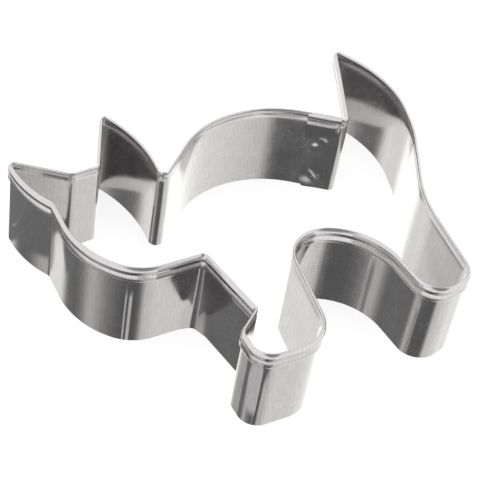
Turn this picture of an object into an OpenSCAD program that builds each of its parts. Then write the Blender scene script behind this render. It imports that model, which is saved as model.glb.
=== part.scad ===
// Cat-shaped cookie cutter bent from one strip of stainless steel.
// The strip's top is rolled into a rim, its bottom is the cutting edge, and its two ends
// are lapped at the root of the tail and spot welded. The cutter stands on its cutting edge
// at Z = 0. The cat faces -X, its ears and tail point to +Y.
//
// The strip follows a fold line: the outer face of the wall, seen from above, run
// counterclockwise from the lap. The wall lies inside that line and the rim folds outside it.

/* [Cutter] */
// Length of the cat, from its left ear towards its tail
cat_l = 90; // [80:1:110]
// Width of the cat, from its paws to its tail tip
cat_w = 74; // [66:1:90]
// Height of the cutter, from cutting edge to rim
cutter_h = 20; // [15:0.5:30]

/* [Strip] */
// Thickness of the steel strip
strip_t = 0.4; // [0.3:0.05:0.45]
// Space left inside the rim at a sharp tip
tip_gap = 0.2; // [0.1:0.05:0.5]
// Space left outside the rim in a sharp inner corner
crease_gap = 0.65; // [0.3:0.05:1]

/* [Rolled rim] */
// Diameter of the bead along the top
bead_d = 1; // [0.9:0.05:1.3]
// Height of the rim, from its top to the raw edge of the folded flange
hem_h = 3.6; // [3:0.1:4.6]
// Depth of the swaged ridge below the top
ridge_drop = 1.9; // [1.7:0.05:2.2]
// Height of the swaged ridge over the flange
ridge_out = 0.12; // [0.05:0.01:0.2]
// Radius of the swaged ridge's section
ridge_r = 0.4; // [0.3:0.02:0.5]

/* [Lap joint] */
// Straight length of the inner end, from the bend at the root of the tail
lap_l = 6.9; // [5.5:0.1:7.1]
// Cut at the inner end's lower corner
lap_cut = 0.9; // [0.3:0.1:1.5]
// Height of the inner end's own pressed bead
lap_bead_d = 1.2; // [0.9:0.1:1.6]
// How far that bead stands in from the wall
lap_bead_out = 0.3; // [0.15:0.05:0.45]
// Diameter of a spot weld
weld_d = 1.9; // [1.4:0.1:2.4]
// Depth of the dimple that the electrode leaves
dimple_h = 0.1; // [0.04:0.02:0.14]

/* [Hidden] */
$fa = 3;
$fs = 0.1;

// Corners of the fold line: share of cat_l, share of cat_w, and bend radius as a share of
// cat_l. A radius of zero is a sharp fold: a tip where the strip turns in, else a crease.
corner_shares = [
    [0.817, 0.696, 0],      // 0 root of the tail
    [0.570, 0.949, 0.264],  // 1 back
    [0.290, 0.680, 0],      // 2 neck
    [0.318, 0.867, 0.368],  // 3 back of the right ear
    [0.274, 1.000, 0],      // 4 right ear tip
    [0.178, 0.801, 0],      // 5 right ear root
    [0.111, 0.800, 0.020],  // 6 left ear root
    [0.002, 0.916, 0],      // 7 left ear tip
    [-0.009, 0.808, 0.259], // 8 side of the left ear
    [0.028, 0.714, 0.022],  // 9 temple
    [0.007, 0.522, 0.207],  // 10 cheek
    [0.096, 0.391, 0.112],  // 11 jaw
    [0.250, 0.381, 0],      // 12 throat
    [0.262, 0.154, 0],      // 13 elbow
    [0.199, 0.103, 0.026],  // 14 wrist
    [0.191, 0.004, 0.044],  // 15 front toes
    [0.362, -0.013, 0.087], // 16 front heel
    [0.445, 0.385, 0.089],  // 17 belly behind the front leg
    [0.634, 0.269, 0.158],  // 18 belly before the hind leg
    [0.630, -0.018, 0.055], // 19 hind toes
    [0.757, 0.018, 0.053],  // 20 hind heel
    [0.813, 0.324, 0.378],  // 21 hock
    [0.952, 0.584, 0.394],  // 22 rump
    [1.027, 0.816, 0.310],  // 23 outer side of the tail
    [0.959, 1.005, 0]       // 24 tail tip
];
// Middle of the whole cutter, as shares of cat_l and cat_w
middle_share = [0.4998, 0.4936];
// Where the spot welds sit: share of lap_l from the bend, share of cutter_h
weld_shares = [[0.47, 0.67], [0.45, 0.15]];
// Part of a weld's face that its dimple takes
dimple_share = 0.8;
// Part of a leg between two corners that their bends may take up
bend_share = 0.985;

bead_r = bead_d / 2;
rim_out = max(bead_r, strip_t + ridge_out);
tip_r = bead_r + tip_gap;
crease_r = rim_out + crease_gap;
lap_z = cutter_h - bead_d;
corner_count = len(corner_shares);
// Overrun of a cut
past = strip_t;

// The fold line, with its corners counted round and round
function wrap(i) = (i + corner_count) % corner_count;
function corner(i) = let (s = corner_shares[wrap(i)]) [s.x * cat_l, s.y * cat_w];
function leg(i) = corner(i + 1) - corner(i);
function along(i) = leg(i) / norm(leg(i));
function heading(i) = atan2(leg(i).y, leg(i).x);
function outwards(i) = [along(i).y, -along(i).x];
// Turn at a corner: positive to the left, towards the inside of the cat
function turn(i) = let (a = heading(i) - heading(i - 1)) a > 180 ? a - 360 : a < -180 ? a + 360 : a;
function folded_r(i) = turn(i) > 0 ? tip_r : crease_r;
function wanted_r(i) = max(corner_shares[wrap(i)][2] * cat_l, folded_r(i));
function reach(i, r) = r * tan(abs(turn(i)) / 2);
// A bend gives way where it and its neighbour need more than the leg between them
function wanted_reach(i) = reach(i, wanted_r(i));
function room(i) = bend_share * norm(leg(i)) / (wanted_reach(i) + wanted_reach(i + 1));
function bend_r(i) = wanted_r(i) * min(1, room(i - 1), room(i));
function bend_start(i) = corner(i) - along(i - 1) * reach(i, bend_r(i));
function bend_end(i) = corner(i) + along(i) * reach(i, bend_r(i));

// The lap: the strip's inner end comes down the tail, runs one thickness past the corner
// and turns to lie against the inside of the back. The outer end starts beside that bend.
lap_shift = strip_t / sin(heading(-1) - heading(0));
lap_corner = corner(0) + along(-1) * lap_shift;
lap_reach = reach(0, crease_r);
lap_bend_start = lap_corner - along(-1) * lap_reach;
lap_start = lap_corner + along(0) * lap_reach;
outer_end = lap_start + outwards(0) * strip_t;

// Section of the strip: X is outwards from the fold line, Y is up
module strip_section() {
    translate([-strip_t, 0]) square([strip_t, cutter_h - bead_r]);
    translate([0, cutter_h - hem_h]) square([strip_t, hem_h - bead_r]);
    translate([strip_t + ridge_out - ridge_r, cutter_h - ridge_drop]) circle(r = ridge_r);
    translate([0, cutter_h - bead_r]) circle(r = bead_r);
}

// Puts its children where a straight starts: Y runs along the strip, X is outwards
module at(point, i) {
    translate(point) rotate([0, 0, heading(i) - 90]) children();
}

// Swaps left and right for a bend to the right
module handed(left) {
    if (left) children();
    else mirror([1, 0, 0]) children();
}

// Extrudes a section along +Y
module run(length) {
    translate([0, length, 0]) rotate([90, 0, 0]) linear_extrude(height = length) children();
}

// The bend that ends at the origin, heading along +Y
module bend(r, turn) {
    left = turn > 0;
    handed(left)
        translate([-r, 0, 0])
            mirror([0, 1, 0])
                rotate_extrude(angle = abs(turn))
                    translate([r, 0]) handed(left) strip_section();
}

// One stretch of the cutter: the bend at a corner and the straight after it, up to a point
module stretch(i, to) {
    at(bend_end(i), i) {
        bend(bend_r(i), turn(i));
        run(norm(to - bend_end(i))) strip_section();
    }
}

// Tongue of the inner end, seen along the strip: the plain wall with its own pressed bead
module tongue_section() {
    translate([-strip_t, 0]) square([strip_t, lap_z]);
    intersection() {
        translate([lap_bead_d / 2 - strip_t - lap_bead_out, lap_z - lap_bead_d / 2])
            circle(d = lap_bead_d);
        translate([-strip_t - lap_bead_d, 0]) square([strip_t + lap_bead_d, cutter_h]);
    }
}

// Block that takes off the inner end's lower corner
module lap_snip(side) {
    cube([4 * strip_t, side, side], center = true);
}

// Rods across the lap, where the welds join its two layers
module weld_rods(over) {
    for (s = weld_shares)
        translate([-strip_t - over, s.x * lap_l, s.y * cutter_h])
            rotate([0, 90, 0]) cylinder(d = weld_d, h = 2 * (strip_t + over));
}

// Balls that leave a dished electrode mark on both faces of each weld
module weld_dimples() {
    mark_r = dimple_share * weld_d / 2;
    ball_r = (mark_r * mark_r + dimple_h * dimple_h) / (2 * dimple_h);
    for (s = weld_shares, side = [-1, 1])
        translate([side * (strip_t - dimple_h + ball_r), s.x * lap_l, s.y * cutter_h])
            sphere(r = ball_r);
}

// Sub-parts, in the order of the strip from its outer end to its inner end
module lapped_back() color("silver") at(lap_start, 0) difference() {
    translate([strip_t, 0, 0]) run(norm(bend_start(1) - outer_end)) strip_section();
    weld_rods(past);
}
module back_arch() color("silver") stretch(1, bend_start(2));
module neck() color("silver") stretch(2, bend_start(3));
module right_ear_back() color("silver") stretch(3, bend_start(4));
module right_ear_front() color("silver") stretch(4, bend_start(5));
module forehead() color("silver") stretch(5, bend_start(6));
module left_ear_inner() color("silver") stretch(6, bend_start(7));
module left_ear_tip() color("silver") stretch(7, bend_start(8));
module left_ear_outer() color("silver") stretch(8, bend_start(9));
module temple() color("silver") stretch(9, bend_start(10));
module cheek() color("silver") stretch(10, bend_start(11));
module jaw() color("silver") stretch(11, bend_start(12));
module chest() color("silver") stretch(12, bend_start(13));
module elbow() color("silver") stretch(13, bend_start(14));
module wrist() color("silver") stretch(14, bend_start(15));
module front_toes() color("silver") stretch(15, bend_start(16));
module front_heel() color("silver") stretch(16, bend_start(17));
module belly_front() color("silver") stretch(17, bend_start(18));
module belly_rear() color("silver") stretch(18, bend_start(19));
module hind_toes() color("silver") stretch(19, bend_start(20));
module hind_heel() color("silver") stretch(20, bend_start(21));
module hock() color("silver") stretch(21, bend_start(22));
module rump() color("silver") stretch(22, bend_start(23));
module tail_outer() color("silver") stretch(23, bend_start(24));
module tail_inner() color("silver") stretch(24, lap_bend_start);

// The rim's flange stops at the end of the bend, and the wall goes on as a tongue
module lap_end() color("silver") at(lap_start, 0) {
    bend(crease_r, turn(0));
    difference() {
        run(lap_l) tongue_section();
        weld_rods(past);
        translate([0, lap_l, 0]) rotate([45, 0, 0]) lap_snip(lap_cut * sqrt(2));
    }
}

module spot_welds() color("gainsboro") at(lap_start, 0) difference() {
    weld_rods(0);
    weld_dimples();
}

// The origin is under the middle of the cutter
module placed() {
    translate([-middle_share.x * cat_l, -middle_share.y * cat_w, 0]) children();
}

placed() lapped_back();
placed() back_arch();
placed() neck();
placed() right_ear_back();
placed() right_ear_front();
placed() forehead();
placed() left_ear_inner();
placed() left_ear_tip();
placed() left_ear_outer();
placed() temple();
placed() cheek();
placed() jaw();
placed() chest();
placed() elbow();
placed() wrist();
placed() front_toes();
placed() front_heel();
placed() belly_front();
placed() belly_rear();
placed() hind_toes();
placed() hind_heel();
placed() hock();
placed() rump();
placed() tail_outer();
placed() tail_inner();
placed() lap_end();
placed() spot_welds();
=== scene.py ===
import math

import bpy
from mathutils import Matrix, Vector


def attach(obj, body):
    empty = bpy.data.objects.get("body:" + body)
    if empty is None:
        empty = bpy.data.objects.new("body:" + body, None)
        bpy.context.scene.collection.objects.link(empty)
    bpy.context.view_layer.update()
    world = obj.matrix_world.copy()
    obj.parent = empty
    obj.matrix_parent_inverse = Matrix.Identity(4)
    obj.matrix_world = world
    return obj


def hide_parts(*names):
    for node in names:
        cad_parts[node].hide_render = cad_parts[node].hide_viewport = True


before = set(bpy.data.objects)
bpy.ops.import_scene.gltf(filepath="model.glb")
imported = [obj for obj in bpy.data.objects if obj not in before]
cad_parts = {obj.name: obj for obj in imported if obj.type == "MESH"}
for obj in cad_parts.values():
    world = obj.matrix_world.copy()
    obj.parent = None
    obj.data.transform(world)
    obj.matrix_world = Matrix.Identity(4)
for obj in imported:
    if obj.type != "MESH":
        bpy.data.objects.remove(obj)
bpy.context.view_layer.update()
mm = 0.001

# Where the photograph was taken from: pitch below the horizon, turn from +Y, roll
shot = {
    "place": (-142.62 * mm, -164.99 * mm, 201.7 * mm),
    "pitch": 41.89, "heading": 39.253, "roll": 10.14, "lens": 105,
}


def setCamera():
    bpy.ops.object.camera_add()
    cam = bpy.context.object
    cam.name = "photoCamera"
    turned = Matrix.Rotation(-math.radians(shot["heading"]), 4, "Z")
    tipped = Matrix.Rotation(math.radians(90 - shot["pitch"]), 4, "X")
    rolled = Matrix.Rotation(math.radians(shot["roll"]), 4, "Z")
    cam.matrix_world = Matrix.Translation(shot["place"]) @ turned @ tipped @ rolled
    cam.data.lens = shot["lens"]
    cam.data.sensor_width = 36
    cam.data.clip_start = 0.01
    bpy.context.scene.camera = cam


def clearSelection():
    if bpy.context.object and bpy.context.object.mode != "OBJECT":
        bpy.ops.object.mode_set(mode="OBJECT")
    bpy.ops.object.select_all(action="DESELECT")


def pick(piece):
    clearSelection()
    piece.select_set(True)
    bpy.context.view_layer.objects.active = piece


# The strip follows a fold line: the outer face of the wall, seen from above, run
# counterclockwise from the lap. Corner places are shares of the cat's length and width,
# and bend radii shares of its length. A radius of zero is a sharp fold.
fold = {
    "length": 90 * mm, "width": 74 * mm, "middle": (0.4998, 0.4936),
    "tipRadius": 0.7 * mm, "creaseRadius": 1.17 * mm, "bendShare": 0.985,
    "corners": [
        ("lapped_back", 0.817, 0.696, 0), ("back_arch", 0.570, 0.949, 0.264),
        ("neck", 0.290, 0.680, 0), ("right_ear_back", 0.318, 0.867, 0.368),
        ("right_ear_front", 0.274, 1.000, 0), ("forehead", 0.178, 0.801, 0),
        ("left_ear_inner", 0.111, 0.800, 0.020), ("left_ear_tip", 0.002, 0.916, 0),
        ("left_ear_outer", -0.009, 0.808, 0.259), ("temple", 0.028, 0.714, 0.022),
        ("cheek", 0.007, 0.522, 0.207), ("jaw", 0.096, 0.391, 0.112),
        ("chest", 0.250, 0.381, 0), ("elbow", 0.262, 0.154, 0),
        ("wrist", 0.199, 0.103, 0.026), ("front_toes", 0.191, 0.004, 0.044),
        ("front_heel", 0.362, -0.013, 0.087), ("belly_front", 0.445, 0.385, 0.089),
        ("belly_rear", 0.634, 0.269, 0.158), ("hind_toes", 0.630, -0.018, 0.055),
        ("hind_heel", 0.757, 0.018, 0.053), ("hock", 0.813, 0.324, 0.378),
        ("rump", 0.952, 0.584, 0.394), ("tail_outer", 1.027, 0.816, 0.310),
        ("tail_inner", 0.959, 1.005, 0),
    ],
}
count = len(fold["corners"])


def corner(i):
    _, x, y, _ = fold["corners"][i % count]
    return Vector(((x - fold["middle"][0]) * fold["length"],
                   (y - fold["middle"][1]) * fold["width"], 0))


def leg(i):
    return corner(i + 1) - corner(i)


def along(i):
    return leg(i).normalized()


def outwards(i):
    return Vector((along(i).y, -along(i).x, 0))


def heading(i):
    return math.atan2(leg(i).y, leg(i).x)


def turn(i):                     # positive to the left, towards the inside of the cat
    return (heading(i) - heading(i - 1) + math.pi) % (2 * math.pi) - math.pi


def reach(i, radius):
    return radius * math.tan(abs(turn(i)) / 2)


def wantedRadius(i):
    folded = fold["tipRadius"] if turn(i) > 0 else fold["creaseRadius"]
    return max(fold["corners"][i % count][3] * fold["length"], folded)


def room(i):
    need = reach(i, wantedRadius(i)) + reach(i + 1, wantedRadius(i + 1))
    return fold["bendShare"] * leg(i).length / need


def bendRadius(i):
    return wantedRadius(i) * min(1, room(i - 1), room(i))


def bendStart(i):
    return corner(i) - along(i - 1) * reach(i, bendRadius(i))


def bendEnd(i):
    return corner(i) + along(i) * reach(i, bendRadius(i))


# Each effect's size along the strip and across it, and its depth, are in mm, and shifts in m
finish = {
    "colour": (0.625, 0.608, 0.611), "roughness": 0.13, "anisotropic": 0.4, "grainTurned": 0.25,
    "grainEvery": (4, 0.14), "grainDeep": 0.0022, "grainShade": 0.3,      # the roller's marks
    "brushEvery": (0.3, 3.5), "brushDeep": 0.004, "brushShade": 0.4,      # fine upright polishing streaks
    "rippleEvery": (1.6, 60), "rippleDeep": 0.005,      # from forming, so they stand upright
    "smudgeEvery": (7, 7), "smudgeRough": 0.2,
    "scratchEvery": (5, 0.09), "scratchTurns": (0.35, -0.6, 1.3), "scratchShift": (0.031, 0.077),
    "scratchSharp": 14, "scratchSparse": 9.4, "scratchRough": 0.14,
}

# The bender's nips: how far round the bend, as a share of it, and how hard
nips = {
    "at": {"jaw": (0.28, 1.8), "front_toes": (0.6, 0.9), "hind_toes": (0.26, 1), "belly_rear": (0.62, 0.8)},
    "shape": [(0, 0), (0.34, 0), (0.52, 1), (0.9, 0), (1, 0)],      # place across a nip, and height
    "wide": 3 * mm, "top": 16.2 * mm, "fade": 4 * mm,   # a nip fades out towards the flange
    "deep": 0.12,                                       # mm
}

strip = {
    "height": 20 * mm, "thickness": 0.4 * mm, "beadRadius": 0.5 * mm,
    "flangeEdge": 16.4 * mm, "edgeRound": 0.05 * mm,
    "slitWide": 0.035 * mm, "slitDeep": 0.3 * mm,       # behind the raw edge of the flange
    "plainTop": 2.8 * mm,                               # below the top, from where the inner wall is plain
    "outerRows": 24, "innerRows": 20,
    # mm out from the flange's face and up from its edge: a soft lip, then the pressed ridge
    "flange": [
        (0.04, 0.16), (0.1, 0.3), (0.13, 0.46), (0.12, 0.7), (0.09, 0.95), (0.05, 1.2), (0.01, 1.45),
        (-0.03, 1.64), (-0.06, 1.78),
    ],
    # mm out from the fold line and down from the top: the rolled bead, with a groove on each side of it
    "bead": [
        (0.36, 1.72), (0.43, 1.6), (0.5, 1.46), (0.535, 1.3), (0.54, 1.12), (0.52, 0.92), (0.475, 0.72),
        (0.405, 0.52), (0.315, 0.34), (0.215, 0.19), (0.1, 0.07), (0.02, 0.01), (-0.05, 0.03), (-0.15, 0.1),
        (-0.25, 0.22), (-0.31, 0.36), (-0.35, 0.55), (-0.355, 0.72), (-0.31, 0.9), (-0.24, 1.02),
        (-0.21, 1.14), (-0.24, 1.28), (-0.29, 1.5), (-0.335, 1.75), (-0.37, 2.05), (-0.39, 2.35),
    ],
    "ringEvery": 0.6 * mm, "turnEvery": math.radians(5),
    "wave": 0.16 * mm, "waveSize": 15 * mm,             # the hand-bent wall is never quite flat
    "raggedness": 0.14 * mm, "ragSize": 1.3 * mm,       # of the flange's sheared edge
    "ragBelow": 0.1 * mm, "ragAbove": 0.12 * mm,
    "sharpFrom": math.radians(50),                      # edges that turn more stay crisp
}

# The inner end of the strip: its bead is squeezed over the outer end's, and a pressed
# fold runs below it. Shape in mm out from its fold line and down from the top.
lap = {
    "length": 7.4 * mm, "slant": 0.85 * mm, "cut": 0.9 * mm, "ringEvery": 0.3 * mm,
    "under": [
        (0.02, 1), (0.03, 0.78), (0.08, 0.56), (0.14, 0.43), (0.24, 0.33), (0.34, 0.25), (0.44, 0.21),
        (0.54, 0.24),
    ],
    "over": [
        (0.58, 0.2), (0.57, 0.1), (0.53, 0.02), (0.48, 0), (0.43, 0.03), (0.35, 0.11), (0.27, 0.19),
        (0.19, 0.24), (0.08, 0.27), (-0.1, 0.31), (-0.3, 0.38), (-0.44, 0.48), (-0.5, 0.6), (-0.48, 0.72),
        (-0.43, 0.82), (-0.4, 0.92), (-0.39, 1.08), (-0.4, 1.22), (-0.58, 1.28), (-0.63, 1.46),
        (-0.68, 1.68), (-0.72, 1.92), (-0.75, 2.17), (-0.77, 2.42), (-0.775, 2.7), (-0.75, 3.05),
        (-0.69, 3.5), (-0.6, 3.95), (-0.51, 4.4), (-0.44, 4.9),
    ],
    "flatTop": 1.4 * mm, "plainTop": 6 * mm,               # below the top: where each wall turns plain
    "outerRows": 20, "innerRows": 28,
    "settle": 2.2 * mm, "settleSlope": 1 / 6,              # the fold grows out of the bend over this
    "lifted": (5.1 * mm, 0.5 * mm, 3 * mm, 0.2 * mm),      # the lower free corner: along, up, reach, push
    # how much lower the outer end's bead lies below it, from how far down, and how far short of the free end
    "nested": 0.22 * mm, "nestDeep": 1.3 * mm, "nestShort": 0.6 * mm,
}
weld = {
    "wide": 1.9 * mm, "proud": 0.012 * mm, "sides": 48, "rings": 8, "edgeRound": 0.01 * mm,
    "places": [(3.24, 13.4), (3.1, 3)],                     # mm from the bend, and up
    "outerShare": -0.5,                                     # of the ridges' height, on the outer sheet
    # The electrode was pressed in askew and threw up a slanting ridge at each weld, with small bumps
    # round the upper one: mm from the bend, up, half length, half width, degrees turned, mm high
    "ridges": [
        (3.2, 13.75, 2.3, 1, 45, 0.2), (4.7, 11.45, 1.1, 1.1, 0, 0.15), (7, 14.9, 0.9, 1, 0, 0.13),
        (4.1, 3.5, 2.7, 0.85, 50, 0.13),
    ],
    "through": 6 * mm,                                      # the ridges' reach across the sheet
    "colour": (0.58, 0.56, 0.56), "darker": 0.8, "roughness": 0.14, "mottleRough": 0.2,
    "mottleEvery": 0.5, "mottleDeep": 0.01,                 # mm
}
lapCorner = corner(0) + along(-1) * strip["thickness"] / math.sin(heading(-1) - heading(0))
lapBendStart = lapCorner - along(-1) * reach(0, fold["creaseRadius"])
lapStart = lapCorner + along(0) * reach(0, fold["creaseRadius"])
outerEnd = lapStart + outwards(0) * strip["thickness"]


def wallFoot():
    t, e = strip["thickness"], strip["edgeRound"]
    return [(e - t, 0), (-e, 0), (0, e), (0, 3 * e)]


def innerWall(top, steps):
    t, e = strip["thickness"], strip["edgeRound"]
    return [(-t, top * k / steps) for k in range(steps, 0, -1)] + [(-t, 3 * e), (-t, e)]


def rimSection():                # out from the fold line, up from the table
    t, e, edge, top = strip["thickness"], strip["edgeRound"], strip["flangeEdge"], strip["height"]
    wide, deep = strip["slitWide"], strip["slitDeep"]
    rows = strip["outerRows"]
    path = wallFoot() + [(0, edge * k / rows) for k in range(1, rows)]
    path += [(0, edge - e), (0, edge + deep), (wide, edge + deep), (wide, edge + e / 2), (wide + e / 2, edge)]
    path += [(t - e, edge), (t, edge + e)]
    path += [(t + out * mm, edge + up * mm) for out, up in strip["flange"]]
    path += [(out * mm, top - down * mm) for out, down in strip["bead"]]
    return path + innerWall(top - strip["plainTop"], strip["innerRows"])


def tongueSection():
    top, rows = strip["height"], lap["outerRows"]
    path = wallFoot() + [(0, (top - lap["flatTop"]) * k / rows) for k in range(1, rows + 1)]
    path += [(out * mm, top - down * mm) for out, down in lap["under"] + lap["over"]]
    return path + innerWall(top - lap["plainTop"], lap["innerRows"])


def traceSection(name, path):
    # one vertex is extruded round the section, which stands in the XZ plane
    clearSelection()
    bpy.ops.mesh.primitive_plane_add(size=0.1 * mm, location=(path[0][0], 0, path[0][1]))
    blank = bpy.context.object
    blank.name = name
    bpy.ops.object.transform_apply(location=True, rotation=False, scale=False)
    bpy.ops.object.mode_set(mode="EDIT")
    bpy.ops.mesh.select_all(action="SELECT")
    bpy.ops.mesh.merge(type="CENTER")
    for a, b in zip(path, path[1:] + path[:1]):
        bpy.ops.mesh.extrude_region_move(TRANSFORM_OT_translate={"value": (b[0] - a[0], 0, b[1] - a[1])})
    bpy.ops.mesh.select_all(action="SELECT")
    bpy.ops.mesh.remove_doubles(threshold=0.002 * mm)
    bpy.ops.object.mode_set(mode="OBJECT")
    return blank


def placeSection(blank, name, point, angle):
    pick(blank)
    bpy.ops.object.duplicate(linked=False)
    piece = bpy.context.object
    piece.name = piece.data.name = name
    piece.location = point
    piece.rotation_euler = (0, 0, angle - math.pi / 2)
    bpy.ops.object.transform_apply(location=True, rotation=True, scale=False)
    bpy.ops.object.mode_set(mode="EDIT")
    bpy.ops.mesh.select_all(action="SELECT")
    return piece


def bendOn(point, angle, radius, turned):
    # spins the picked ring round the bend's centre
    side = 1 if turned > 0 else -1
    centre = point + side * radius * Vector((-math.sin(angle), math.cos(angle), 0))
    steps = max(math.ceil(abs(turned) * (radius + strip["beadRadius"]) / strip["ringEvery"]),
                math.ceil(abs(turned) / strip["turnEvery"]))
    bpy.ops.mesh.spin(steps=steps, angle=-turned, center=centre, axis=(0, 0, 1))


def runOn(angle, length, every=None):
    # extrudes the picked ring straight on, in steps that leave room for the wave
    steps = max(1, math.ceil(length / (every or strip["ringEvery"])))
    step = Vector((math.cos(angle), math.sin(angle), 0)) * length / steps
    for _ in range(steps):
        bpy.ops.mesh.extrude_region_move(TRANSFORM_OT_translate={"value": step})


def closeEnds():
    bpy.ops.mesh.select_all(action="SELECT")
    bpy.ops.mesh.remove_doubles(threshold=0.001 * mm)
    bpy.ops.mesh.select_all(action="SELECT")
    bpy.ops.mesh.fill_holes(sides=0)
    bpy.ops.mesh.select_all(action="SELECT")
    bpy.ops.mesh.normals_make_consistent(inside=False)
    bpy.ops.object.mode_set(mode="OBJECT")


def layFinish(piece, path, stretch):
    # a UV map in metres: along the strip, and round its section from the cutting edge
    developed = [0]
    for a, b in zip(path, path[1:]):
        developed.append(developed[-1] + math.dist(a, b))
    low, high = strip["flangeEdge"] - strip["ragBelow"], strip["flangeEdge"] + strip["ragAbove"]
    ragged = [k for k, (out, up) in enumerate(path) if out > strip["slitWide"] and low < up < high]
    places, edge = [], []
    for v in piece.data.vertices:
        s, out = stretch(v.co)
        k = min(range(len(path)), key=lambda n: (path[n][0] - out) ** 2 + (path[n][1] - v.co.z) ** 2)
        places.append((s, developed[k]))
        if k in ragged:
            edge.append(v.index)
    layer = piece.data.uv_layers.new(name="stripMap")
    for loop in piece.data.loops:
        layer.data[loop.index].uv = places[loop.vertex_index]
    if edge:
        piece.vertex_groups.new(name="rawEdge").add(edge, 1, "REPLACE")


def makeSoftPush():
    # a push eases in from the rim of its reach to full strength at the middle
    blend = bpy.data.textures.new("softPush", "BLEND")
    blend.progression = "SPHERICAL"
    blend.use_color_ramp = True
    blend.color_ramp.interpolation = "EASE"
    for stop, level in zip(blend.color_ramp.elements, (0, 1)):
        stop.color = (level, level, level, 1)
    return blend


def pushAt(pieces, place, reach, push, group="", turned=(0, 0, 0)):
    # a soft push on whatever lies within reach of a place
    clearSelection()
    bpy.ops.object.empty_add(location=place, rotation=turned)
    spot = bpy.context.object
    spot.scale = reach
    bpy.context.view_layer.update()
    for piece in pieces:
        pick(piece)
        for axis, amount in zip("XYZ", push):
            if abs(amount) < 0.001 * mm:
                continue
            bpy.ops.object.modifier_add(type="DISPLACE")
            displace = piece.modifiers[-1]
            displace.texture, displace.direction = softPush, axis
            displace.texture_coords, displace.texture_coords_object = "OBJECT", spot
            displace.mid_level, displace.strength, displace.vertex_group = 0, amount, group
            bpy.ops.object.modifier_apply(modifier=displace.name)
    bpy.data.objects.remove(spot, do_unlink=True)


# Towards the cutting edge, which no rim holds, a crease opens out: the push's reach, height and strength
flare = {
    "chest": ((4.4 * mm, 4.4 * mm, 20 * mm), -4 * mm, 0.9 * mm),
}


def makeWaves():
    kinds = {"X": ("ORIGINAL_PERLIN", "waveSize"), "Y": ("IMPROVED_PERLIN", "waveSize"),
             "Z": ("ORIGINAL_PERLIN", "ragSize")}
    found = {}
    for axis, (basis, size) in kinds.items():
        found[axis] = bpy.data.textures.new("unevenness" + axis, "CLOUDS")
        found[axis].noise_basis = basis
        found[axis].noise_scale = strip[size]
        found[axis].noise_depth = 1
    return found


def unevenOut(piece):
    pick(piece)
    for axis, texture in waves.items():
        if axis == "Z" and "rawEdge" not in piece.vertex_groups:
            continue
        bpy.ops.object.modifier_add(type="DISPLACE")
        displace = piece.modifiers[-1]
        displace.texture = texture
        displace.texture_coords = "LOCAL"
        displace.direction = axis
        displace.mid_level = 0.5
        displace.strength = strip["raggedness"] if axis == "Z" else strip["wave"]
        if axis == "Z":
            displace.vertex_group = "rawEdge"
        bpy.ops.object.modifier_apply(modifier=displace.name)
    bpy.ops.object.shade_smooth_by_angle(angle=strip["sharpFrom"])


def stretchFinder(point, angle, radius, turned, far):
    # tells where a vertex lies: how far along the strip, and how far out from the fold line
    side = 1 if turned > 0 else -1
    centre = point + side * radius * Vector((-math.sin(angle), math.cos(angle), 0))
    last = angle + turned
    end = centre - side * radius * Vector((-math.sin(last), math.cos(last), 0))
    ahead, right = Vector((math.cos(last), math.sin(last), 0)), Vector((math.sin(last), -math.cos(last), 0))

    def find(co):
        flat = Vector((co.x, co.y, 0))
        past = (flat - end).dot(ahead)
        if past >= -0.001 * mm:
            return far + radius * abs(turned) + past, (flat - end).dot(right)
        spoke = flat - centre
        start = point - centre
        swept = side * math.atan2(start.x * spoke.y - start.y * spoke.x, start.dot(spoke))
        return far + radius * max(swept, 0), side * (spoke.length - radius)
    return find


def makeStretch(i, far):
    # the bend at a corner, and the straight from it to the next bend
    name = fold["corners"][i][0]
    angle, radius, turned = heading(i - 1), bendRadius(i), turn(i)
    to = lapBendStart if i == count - 1 else bendStart(i + 1)
    straight = (to - bendEnd(i)).length
    piece = placeSection(rimBlank, "strip_" + name, bendStart(i), angle)
    bendOn(bendStart(i), angle, radius, turned)
    runOn(heading(i), straight)
    closeEnds()
    layFinish(piece, rimPath, stretchFinder(bendStart(i), angle, radius, turned, far))
    unevenOut(piece)
    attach(piece, "root")
    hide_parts(name)
    if name in nips["at"]:
        share, hard = nips["at"][name]
        marks.append((far + radius * abs(turned) * share, hard))
    return piece, far + radius * abs(turned) + straight


def makeLappedBack():
    # the outer end of the strip starts square beside the lap's bend
    length = (bendStart(1) - outerEnd).length
    piece = placeSection(rimBlank, "strip_lapped_back", outerEnd, heading(0))
    runOn(heading(0), lap["length"], lap["ringEvery"])
    runOn(heading(0), length - lap["length"])
    closeEnds()
    nestBead(piece)
    layFinish(piece, rimPath, stretchFinder(outerEnd, heading(0), mm, 0, 0))
    pressRidges(piece, weld["outerShare"])
    unevenOut(piece)
    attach(piece, "root")
    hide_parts("lapped_back")
    return piece, length


def nestBead(piece):
    # under the lap the outer end's bead is squeezed lower
    pick(piece)
    covered = piece.vertex_groups.new(name="covered")
    for v in piece.data.vertices:
        above = v.co.z - strip["height"] + lap["nestDeep"]
        if (v.co - outerEnd).dot(along(0)) < lap["length"] - lap["nestShort"] and above > 0:
            covered.add([v.index], above / lap["nestDeep"], "REPLACE")
    bpy.ops.object.modifier_add(type="DISPLACE")
    sink = piece.modifiers[-1]
    sink.direction, sink.mid_level, sink.strength, sink.vertex_group = "Z", 0, -lap["nested"], "covered"
    bpy.ops.object.modifier_apply(modifier=sink.name)


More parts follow.
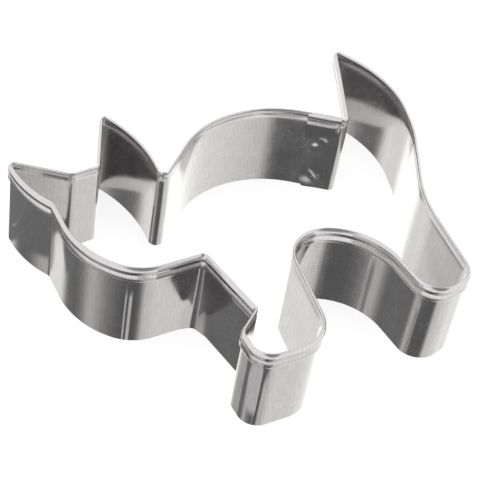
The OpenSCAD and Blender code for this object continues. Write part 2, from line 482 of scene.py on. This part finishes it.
def makeLapEnd(far):
    # the rim goes round the bend at the root of the tail, then the wall goes on as a tongue
    angle, radius, turned = heading(-1), fold["creaseRadius"], turn(0)
    bent = placeSection(rimBlank, "strip_lap_end", lapBendStart, angle)
    bendOn(lapBendStart, angle, radius, turned)
    closeEnds()
    layFinish(bent, rimPath, stretchFinder(lapBendStart, angle, radius, turned, far))
    tongue = placeSection(tongueBlank, "tongue", lapStart, heading(0))
    runOn(heading(0), lap["length"], lap["ringEvery"])
    closeEnds()
    layFinish(tongue, tonguePath, stretchFinder(lapStart, heading(0), mm, 0, far + radius * abs(turned)))
    settleTongue(tongue)
    cutTongue(tongue)
    far, up, near, push = lap["lifted"]
    pushAt([tongue], lapStart + along(0) * far + Vector((0, 0, up)), (near,) * 3, -outwards(0) * push)
    pressRidges(tongue, 1)
    pick(bent)
    tongue.select_set(True)
    bpy.ops.object.join()
    unevenOut(bent)
    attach(bent, "root")
    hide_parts("lap_end")
    return bent


def settleTongue(tongue):
    # beside the bend the pressed fold and the wide bead flatten into the wall
    pick(tongue)
    proud = lap["settle"] * lap["settleSlope"]
    flat = tongue.vertex_groups.new(name="settled")
    for v in tongue.data.vertices:
        far, out = (v.co - lapStart).dot(along(0)), (v.co - lapStart).dot(outwards(0))
        inward = -strip["thickness"] - out
        if far < lap["settle"] and inward > 0:
            flat.add([v.index], min(1, inward / proud) * (1 - far / lap["settle"]) ** 2, "REPLACE")
    for axis, part in zip("XY", outwards(0)):
        bpy.ops.object.modifier_add(type="DISPLACE")
        level = tongue.modifiers[-1]
        level.direction, level.vertex_group = axis, "settled"
        level.mid_level, level.strength = 0, part * proud
        bpy.ops.object.modifier_apply(modifier=level.name)


def onLap(far, up):
    return lapStart + along(0) * far * mm + Vector((0, 0, up * mm))


def pressRidges(piece, share, group=""):
    for far, up, half, wide, turned, high in weld["ridges"]:
        reach = (half * mm, weld["through"], wide * mm)
        push = -outwards(0) * high * mm * share
        pushAt([piece], onLap(far, up), reach, push, group, (0, -math.radians(turned), heading(0)))


def makeWelds():
    # a nugget through both layers at each place, its two faces following the dented sheet
    deep = 2 * (strip["thickness"] + weld["proud"])
    turned = (0, math.pi / 2, heading(0) - math.pi / 2)
    nuggets = []
    for place in weld["places"]:
        clearSelection()
        bpy.ops.mesh.primitive_cylinder_add(vertices=weld["sides"], radius=weld["wide"] / 2, depth=deep,
                                            location=onLap(*place), rotation=turned)
        nugget = bpy.context.object
        bpy.ops.object.transform_apply(location=True, rotation=True, scale=False)
        bpy.ops.object.mode_set(mode="EDIT")
        bpy.ops.mesh.select_mode(type="FACE")
        for side in (-1, 1):
            bpy.ops.mesh.select_all(action="DESELECT")
            bpy.ops.object.mode_set(mode="OBJECT")
            for face in nugget.data.polygons:
                face.select = face.normal.dot(outwards(0)) * side > 0.9
            bpy.ops.object.mode_set(mode="EDIT")
            for _ in range(weld["rings"]):
                bpy.ops.mesh.inset(thickness=weld["wide"] / 2 / (weld["rings"] + 1))
        bpy.ops.object.mode_set(mode="OBJECT")
        nuggets.append(nugget)
    pick(nuggets[0])
    nuggets[1].select_set(True)
    bpy.ops.object.join()
    welds = bpy.context.object
    welds.name = welds.data.name = "strip_spot_welds"
    pick(welds)
    bpy.ops.object.modifier_add(type="BEVEL")
    soften = welds.modifiers[-1]
    soften.width, soften.segments, soften.limit_method = weld["edgeRound"], 2, "ANGLE"
    bpy.ops.object.modifier_apply(modifier=soften.name)
    for name, share in (("innerFace", 1), ("outerFace", weld["outerShare"])):
        face = welds.vertex_groups.new(name=name)
        near = [v.index for v in welds.data.vertices if (v.co - lapStart).dot(outwards(0)) * share < 0]
        face.add(near, 1, "REPLACE")
        pressRidges(welds, share, name)
    bpy.ops.object.shade_smooth_by_angle(angle=strip["sharpFrom"])
    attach(welds, "root")
    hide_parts("spot_welds")
    return welds


def cutTongue(tongue):
    # the free end is cut a little out of square, and its lower corner is snipped off
    pick(tongue)
    bpy.ops.object.mode_set(mode="EDIT")
    ahead, up = along(0), Vector((0, 0, 1))
    foot = lapStart + ahead * (lap["length"] - lap["slant"])
    lean = ahead * strip["height"] - up * lap["slant"]
    for at, off in ((foot, lean), (foot + up * lap["cut"], ahead - up)):
        bpy.ops.mesh.select_all(action="SELECT")
        bpy.ops.mesh.bisect(plane_co=at, plane_no=off.normalized(), use_fill=True, clear_outer=True)
    bpy.ops.object.mode_set(mode="OBJECT")


def addNode(tree, kind, place, **values):
    node = tree.nodes.new("ShaderNode" + kind)
    node.location = place
    for name, value in values.items():
        setattr(node, name, value)
    return node


def addMath(tree, place, operation, *inputs, clamp=False):
    node = addNode(tree, "Math", place, operation=operation, use_clamp=clamp)
    for k, value in enumerate(inputs):
        if isinstance(value, bpy.types.NodeSocket):
            tree.links.new(value, node.inputs[k])
        else:
            node.inputs[k].default_value = value
    return node.outputs[0]


def fillRamp(ramp, stops):
    # a new ramp has two stops, which become the first and the last
    elements = ramp.color_ramp.elements
    for k, (where, colour) in enumerate(stops):
        stop = elements[0] if k == 0 else elements[-1] if k == len(stops) - 1 else elements.new(where)
        stop.position, stop.color = where, (*colour, 1)


def addNoise(tree, place, every, detail, **values):
    # noise on the strip's own map, with a size along it and a size across it in mm
    spread = addNode(tree, "Mapping", (place[0] - 200, place[1]), vector_type="TEXTURE")
    spread.inputs["Scale"].default_value = (every[0] * mm, every[1] * mm, 1)
    for name, value in values.items():
        spread.inputs[name].default_value = value
    tree.links.new(tree.nodes["map"].outputs["UV"], spread.inputs["Vector"])
    noise = addNode(tree, "TexNoise", place)
    noise.inputs["Scale"].default_value = 1
    noise.inputs["Detail"].default_value = detail
    tree.links.new(spread.outputs["Vector"], noise.inputs["Vector"])
    return noise.outputs["Fac"]


def addBendMark(tree, place, at):
    # a narrow upright crease, raised steeply on one side
    x, y = place
    parts = addNode(tree, "SeparateXYZ", place)
    tree.links.new(tree.nodes["map"].outputs["UV"], parts.inputs["Vector"])
    across = addMath(tree, (x + 150, y), "MULTIPLY_ADD", parts.outputs["X"], 1 / nips["wide"],
                     0.5 - at / nips["wide"])
    below = addMath(tree, (x + 150, y - 150), "MULTIPLY_ADD", parts.outputs["Y"], -1 / nips["fade"],
                    nips["top"] / nips["fade"], clamp=True)
    shape = addNode(tree, "ValToRGB", (x + 300, y))
    shape.color_ramp.interpolation = "EASE"
    fillRamp(shape, [(where, (height,) * 3) for where, height in nips["shape"]])
    tree.links.new(across, shape.inputs["Fac"])
    return addMath(tree, (x + 450, y), "MULTIPLY", shape.outputs["Color"], below)


def addScratches(tree, where, amount):
    # fine lines in three directions, in patches
    found = None
    for k, turned in enumerate(finish["scratchTurns"]):
        shift = tuple(step * k for step in finish["scratchShift"])
        thread = addNoise(tree, (-500, -400 - 200 * k), finish["scratchEvery"], 1, Rotation=(0, 0, turned),
                          Location=(*shift, 0))
        line = addMath(tree, (-200, -400 - 200 * k), "MULTIPLY_ADD", thread, finish["scratchSharp"],
                       -finish["scratchSparse"], clamp=True)
        found = addMath(tree, (0, -400 - 200 * k), "MAXIMUM", found, line) if found else line
    patches = addMath(tree, (0, -1000), "GREATER_THAN", where, 0)
    patches = addMath(tree, (100, -1000), "MULTIPLY", patches, amount)
    return addMath(tree, (200, -400), "MULTIPLY", found, patches)


def makeSteelGroup():
    # rolled steel: grain along the strip, upright ripples, fine scratches and smudges
    tree = bpy.data.node_groups.new("rolledSteel", "ShaderNodeTree")
    effects = {"Brush": (finish["brushEvery"], 4), "Grain": (finish["grainEvery"], 2),
               "Ripple": (finish["rippleEvery"], 2), "Smudges": (finish["smudgeEvery"], 3)}
    for name in (*effects, "Scratches"):
        tree.interface.new_socket(name, in_out="INPUT", socket_type="NodeSocketFloat")
    for name in ("Shade", "Roughness", "Height"):
        tree.interface.new_socket(name, in_out="OUTPUT", socket_type="NodeSocketFloat")
    addNode(tree, "UVMap", (-900, 0), uv_map="stripMap", name="map")
    inside = tree.nodes.new("NodeGroupInput")
    inside.location = (-900, 300)
    result = tree.nodes.new("NodeGroupOutput")
    result.location = (900, 0)

    level, ready = {}, {}
    for k, (name, (every, detail)) in enumerate(effects.items()):
        y = 400 - 200 * k
        level[name] = addMath(tree, (-100, y), "SUBTRACT", addNoise(tree, (-500, y), every, detail), 0.5)
        ready[name] = addMath(tree, (0, y), "MULTIPLY", level[name], inside.outputs[name])
    scratch = addScratches(tree, level["Smudges"], inside.outputs["Scratches"])

    height = addMath(tree, (200, 200), "MULTIPLY", ready["Grain"], finish["grainDeep"])
    height = addMath(tree, (300, 200), "MULTIPLY_ADD", ready["Ripple"], finish["rippleDeep"], height)
    height = addMath(tree, (400, 200), "MULTIPLY_ADD", ready["Brush"], finish["brushDeep"], height)
    for k, (at, hard) in enumerate(marks):
        mark = addBendMark(tree, (-500, -1200 - 300 * k), at)
        height = addMath(tree, (500, 100 - 150 * k), "MULTIPLY_ADD", mark, nips["deep"] * hard, height)
    worn = addMath(tree, (200, 400), "MULTIPLY_ADD", ready["Grain"], finish["grainShade"], 1)
    shade = addMath(tree, (300, 400), "MULTIPLY_ADD", ready["Brush"], finish["brushShade"], worn)
    smeared = addMath(tree, (300, -200), "MULTIPLY", ready["Smudges"], finish["smudgeRough"])
    rough = addMath(tree, (400, -200), "MULTIPLY_ADD", scratch, finish["scratchRough"], smeared)
    for name, socket in (("Shade", shade), ("Roughness", rough), ("Height", height)):
        tree.links.new(socket, result.inputs[name])
    return tree


def makeSteel(name, group, colour, roughness, **amounts):
    steel = bpy.data.materials.new(name)
    steel.use_nodes = True
    tree = steel.node_tree
    shader = tree.nodes["Principled BSDF"]
    shader.inputs["Metallic"].default_value = 1
    shader.inputs["Anisotropic"].default_value = finish["anisotropic"]
    shader.inputs["Anisotropic Rotation"].default_value = finish["grainTurned"]
    rolled = addNode(tree, "Group", (-700, 0))
    rolled.node_tree = group
    for socket, value in amounts.items():
        rolled.inputs[socket].default_value = value
    tint = addNode(tree, "Mix", (-300, 200), data_type="RGBA", blend_type="MULTIPLY")
    tint.inputs["Factor"].default_value = 1
    tint.inputs["A"].default_value = (*colour, 1)
    tree.links.new(rolled.outputs["Shade"], tint.inputs["B"])
    tree.links.new(tint.outputs["Result"], shader.inputs["Base Color"])
    rough = addMath(tree, (-300, 0), "ADD", rolled.outputs["Roughness"], roughness, clamp=True)
    tree.links.new(rough, shader.inputs["Roughness"])
    bump = addNode(tree, "Bump", (-300, -200))
    bump.inputs["Strength"].default_value = 1
    bump.inputs["Distance"].default_value = mm
    tree.links.new(rolled.outputs["Height"], bump.inputs["Height"])
    tree.links.new(bump.outputs["Normal"], shader.inputs["Normal"])
    return steel


def makeWeldMetal():
    metal = bpy.data.materials.new("weldMetal")
    metal.use_nodes = True
    tree = metal.node_tree
    shader = tree.nodes["Principled BSDF"]
    shader.inputs["Metallic"].default_value = 1
    view = addNode(tree, "TexCoord", (-900, 0))
    mottle = addNode(tree, "TexNoise", (-700, 0))
    mottle.inputs["Scale"].default_value = 1 / (weld["mottleEvery"] * mm)
    mottle.inputs["Detail"].default_value = 3
    tree.links.new(view.outputs["Object"], mottle.inputs["Vector"])
    tint = addNode(tree, "Mix", (-300, 200), data_type="RGBA")
    tint.inputs["A"].default_value = (*weld["colour"], 1)
    tint.inputs["B"].default_value = (*(weld["darker"] * c for c in weld["colour"]), 1)
    tree.links.new(mottle.outputs["Fac"], tint.inputs["Factor"])
    tree.links.new(tint.outputs["Result"], shader.inputs["Base Color"])
    rough = addMath(tree, (-300, 0), "MULTIPLY_ADD", mottle.outputs["Fac"], weld["mottleRough"],
                    weld["roughness"])
    tree.links.new(rough, shader.inputs["Roughness"])
    bump = addNode(tree, "Bump", (-300, -200))
    bump.inputs["Distance"].default_value = mm
    height = addMath(tree, (-500, -200), "MULTIPLY", mottle.outputs["Fac"], weld["mottleDeep"])
    tree.links.new(height, bump.inputs["Height"])
    tree.links.new(bump.outputs["Normal"], shader.inputs["Normal"])
    return metal


# What stands round the table: brightness by compass angle, in degrees from +X, as the
# walls see it below the horizon. The dark side is the unlit room behind the camera.
studio = {
    "round": [
        (-180, 0.46), (-172, 0.33), (-164, 0.24), (-155, 0.18), (-140, 0.14), (-112, 0.13), (-104, 0.19),
        (-98, 0.42), (-91, 0.74), (-80, 0.8), (-62, 0.9), (-35, 1.0), (-15, 1.07), (0, 1.2), (12, 1.33),
        (25, 1.42), (70, 1.46), (83, 1.4), (87, 1.0), (93, 0.93), (104, 1.04), (112, 0.94), (117, 0.68),
        (121, 0.36), (128, 0.2), (142, 0.18), (150, 0.24), (157, 0.36), (163, 0.56), (171, 0.6), (180, 0.46),
    ],
    "power": 1.4, "warmth": 0.03,     # a ramp stops at 1, so the world is brighter by this
    "low": -0.56, "high": -0.42,      # sine of the elevations between which it turns to sky
    "sky": 1.15, "overhead": 1.12,
    # the dark camera stand, in degrees
    "stand": (-106, 28), "standWide": 29, "standEdge": 12, "standLevel": 0.34,
    "keyPlace": (0.12, 0.16, 0.75), "keySize": 0.5, "keyPower": 1.2,
}

# Cards on the table, seen only in the steel: middle, width and depth in mm, turn in degrees, brightness
cards = {
    "each": [(-42, -41.2, 27, 16, 45, 0.64), (-57, 24, 20, 19, 0, 0.2), (-51, 40, 19, 24, 0, 0.22)],
    "soft": 1.4, "high": 0.1,         # mm
}
# The camera sees the paper as plain white, with a share of its shadow
floor = {"size": 3, "paper": 0.8, "roughness": 0.9, "specular": 0.2, "white": 1.2, "shadow": 0.3}


def addFloor():
    clearSelection()
    bpy.ops.mesh.primitive_plane_add(size=floor["size"], location=(0, 0, 0))
    table = bpy.context.object
    table.name = "floor"
    table.visible_glossy = False     # the steel sees the studio round the table, as in the photograph
    paper = bpy.data.materials.new("palePaper")
    paper.use_nodes = True
    tree = paper.node_tree
    shader = tree.nodes["Principled BSDF"]
    shader.inputs["Base Color"].default_value = (floor["paper"],) * 3 + (1,)
    shader.inputs["Roughness"].default_value = floor["roughness"]
    shader.inputs["Specular IOR Level"].default_value = floor["specular"]
    seen = addNode(tree, "LightPath", (-600, 300))
    white = addNode(tree, "Emission", (-300, -200))
    white.inputs["Strength"].default_value = floor["white"]
    mix = addNode(tree, "MixShader", (300, 100))
    part = addMath(tree, (-300, 300), "MULTIPLY", seen.outputs["Is Camera Ray"], 1 - floor["shadow"])
    tree.links.new(part, mix.inputs["Fac"])
    tree.links.new(shader.outputs["BSDF"], mix.inputs[1])
    tree.links.new(white.outputs["Emission"], mix.inputs[2])
    tree.links.new(mix.outputs["Shader"], tree.nodes["Material Output"].inputs["Surface"])
    table.data.materials.append(paper)


def addCard(x, y, wide, deep, turned, level):
    clearSelection()
    bpy.ops.mesh.primitive_plane_add(size=1, location=(x * mm, y * mm, cards["high"] * mm),
                                     rotation=(0, 0, math.radians(turned)))
    card = bpy.context.object
    card.name = "greyCard"
    card.scale = (wide * mm, deep * mm, 1)
    card.visible_camera = card.visible_diffuse = card.visible_shadow = False
    grey = bpy.data.materials.new("greyCard")
    grey.use_nodes = True
    tree = grey.node_tree
    view = addNode(tree, "TexCoord", (-1200, 0))
    parts = addNode(tree, "SeparateXYZ", (-1000, 0))
    tree.links.new(view.outputs["UV"], parts.inputs["Vector"])
    sides = []
    for axis, size in (("X", wide), ("Y", deep)):
        off = addMath(tree, (-800, 0), "SUBTRACT", parts.outputs[axis], 0.5)
        off = addMath(tree, (-600, 0), "ABSOLUTE", off)
        per = size / cards["soft"]
        sides.append(addMath(tree, (-400, 0), "MULTIPLY_ADD", off, -per, per / 2, clamp=True))
    clear = addNode(tree, "BsdfTransparent", (-200, 200))
    glow = addNode(tree, "Emission", (-200, 0))
    glow.inputs["Color"].default_value = (level, level, level, 1)
    mix = addNode(tree, "MixShader", (0, 0))
    tree.links.new(addMath(tree, (-200, -200), "MULTIPLY", *sides), mix.inputs["Fac"])
    tree.links.new(clear.outputs["BSDF"], mix.inputs[1])
    tree.links.new(glow.outputs["Emission"], mix.inputs[2])
    tree.links.new(mix.outputs["Shader"], tree.nodes["Material Output"].inputs["Surface"])
    card.data.materials.append(grey)


def addKey():
    bpy.ops.object.light_add(type="AREA", location=studio["keyPlace"])
    key = bpy.context.object
    key.name = "softKey"
    key.data.shape, key.data.size, key.data.energy = "DISK", studio["keySize"], studio["keyPower"]
    key.visible_glossy = False       # it lights the floor and matt surfaces, with no hot spot on the steel
    key.rotation_euler = Vector(studio["keyPlace"]).to_track_quat("Z", "Y").to_euler()


def ringColour(level):
    # the bright side is a touch warmer
    warm = studio["warmth"] * min(1, level)
    share = level / studio["power"]
    return share, share * (1 + 0.4 * warm), share * (1 - warm)


def addStand(tree, way, below):
    # the stand is a dark disc in the sky, and the ring is left as it is
    turned, lifted = (math.radians(a) for a in studio["stand"])
    towards = addNode(tree, "VectorMath", (-400, 800), operation="DOT_PRODUCT")
    flat = math.cos(lifted)
    towards.inputs[1].default_value = (math.cos(turned) * flat, math.sin(turned) * flat, math.sin(lifted))
    tree.links.new(way, towards.inputs[0])
    stand = addNode(tree, "MapRange", (-200, 800), interpolation_type="SMOOTHSTEP")
    stand.inputs["From Min"].default_value = math.cos(math.radians(studio["standWide"] + studio["standEdge"]))
    stand.inputs["From Max"].default_value = math.cos(math.radians(studio["standWide"] - studio["standEdge"]))
    tree.links.new(towards.outputs["Value"], stand.inputs["Value"])
    return addMath(tree, (0, 800), "MULTIPLY", stand.outputs["Result"], below)


def addStudio():
    world = bpy.data.worlds.new("studio")
    world.use_nodes = True
    tree = world.node_tree
    view = addNode(tree, "TexCoord", (-1200, 0))
    parts = addNode(tree, "SeparateXYZ", (-1000, 0))
    tree.links.new(view.outputs["Generated"], parts.inputs["Vector"])
    angle = addMath(tree, (-800, 200), "ARCTAN2", parts.outputs["Y"], parts.outputs["X"])
    share = addMath(tree, (-600, 200), "MULTIPLY_ADD", angle, 1 / (2 * math.pi), 0.5)
    ring = addNode(tree, "ValToRGB", (-400, 200))
    tree.links.new(share, ring.inputs["Fac"])
    fillRamp(ring, [(degrees / 360 + 0.5, ringColour(level)) for degrees, level in studio["round"]])
    sky = addNode(tree, "ValToRGB", (-400, -200))
    tree.links.new(parts.outputs["Z"], sky.inputs["Fac"])
    heights = enumerate((studio["sky"], studio["overhead"]))
    fillRamp(sky, [(height, (level / studio["power"],) * 3) for height, level in heights])
    rise = addNode(tree, "MapRange", (-400, 500), interpolation_type="SMOOTHSTEP")
    rise.inputs["From Min"].default_value = studio["low"]
    rise.inputs["From Max"].default_value = studio["high"]
    tree.links.new(parts.outputs["Z"], rise.inputs["Value"])
    mix = addNode(tree, "Mix", (0, 200), data_type="RGBA")
    tree.links.new(rise.outputs["Result"], mix.inputs["Factor"])
    tree.links.new(ring.outputs["Color"], mix.inputs["A"])
    tree.links.new(sky.outputs["Color"], mix.inputs["B"])
    dark = addNode(tree, "Mix", (200, 200), data_type="RGBA")
    dark.inputs["B"].default_value = (studio["standLevel"] / studio["power"],) * 3 + (1,)
    tree.links.new(addStand(tree, view.outputs["Generated"], rise.outputs["Result"]), dark.inputs["Factor"])
    tree.links.new(mix.outputs["Result"], dark.inputs["A"])
    back = tree.nodes["Background"]
    tree.links.new(dark.outputs["Result"], back.inputs["Color"])
    back.inputs["Strength"].default_value = studio["power"]
    bpy.context.scene.world = world


bpy.context.scene.view_settings.view_transform = "Standard"
setCamera()
print("camera set")

rimPath, tonguePath = rimSection(), tongueSection()
rimBlank, tongueBlank = traceSection("rimBlank", rimPath), traceSection("tongueBlank", tonguePath)
waves = makeWaves()
print("sections traced:", len(rimPath), "and", len(tonguePath), "points")

softPush = makeSoftPush()
marks = []
back, distance = makeLappedBack()
pieces = [back]
for i in range(1, count):
    piece, distance = makeStretch(i, distance)
    pieces.append(piece)
pieces.append(makeLapEnd(distance))
for name, (far, low, push) in flare.items():
    n = [c[0] for c in fold["corners"]].index(name)
    between = (outwards(n - 1) + outwards(n)).normalized()
    pushAt([pieces[n - 1], pieces[n]], corner(n) + Vector((0, 0, low)), far, between * push)
print("creases eased")
steel = makeSteel("stripSteel", makeSteelGroup(), finish["colour"], finish["roughness"],
                  Grain=1, Brush=1, Ripple=1, Scratches=1, Smudges=1)
for piece in pieces:
    piece.data.materials.clear()
    piece.data.materials.append(steel)
print("strip bent, mm long:", round(distance / mm, 1))

welds = makeWelds()
welds.data.materials.clear()
welds.data.materials.append(makeWeldMetal())
print("welds set")

clearSelection()
for blank in (rimBlank, tongueBlank):
    bpy.data.objects.remove(blank, do_unlink=True)

addFloor()
for card in cards["each"]:
    addCard(*card)
addKey()
addStudio()
print("stage set")
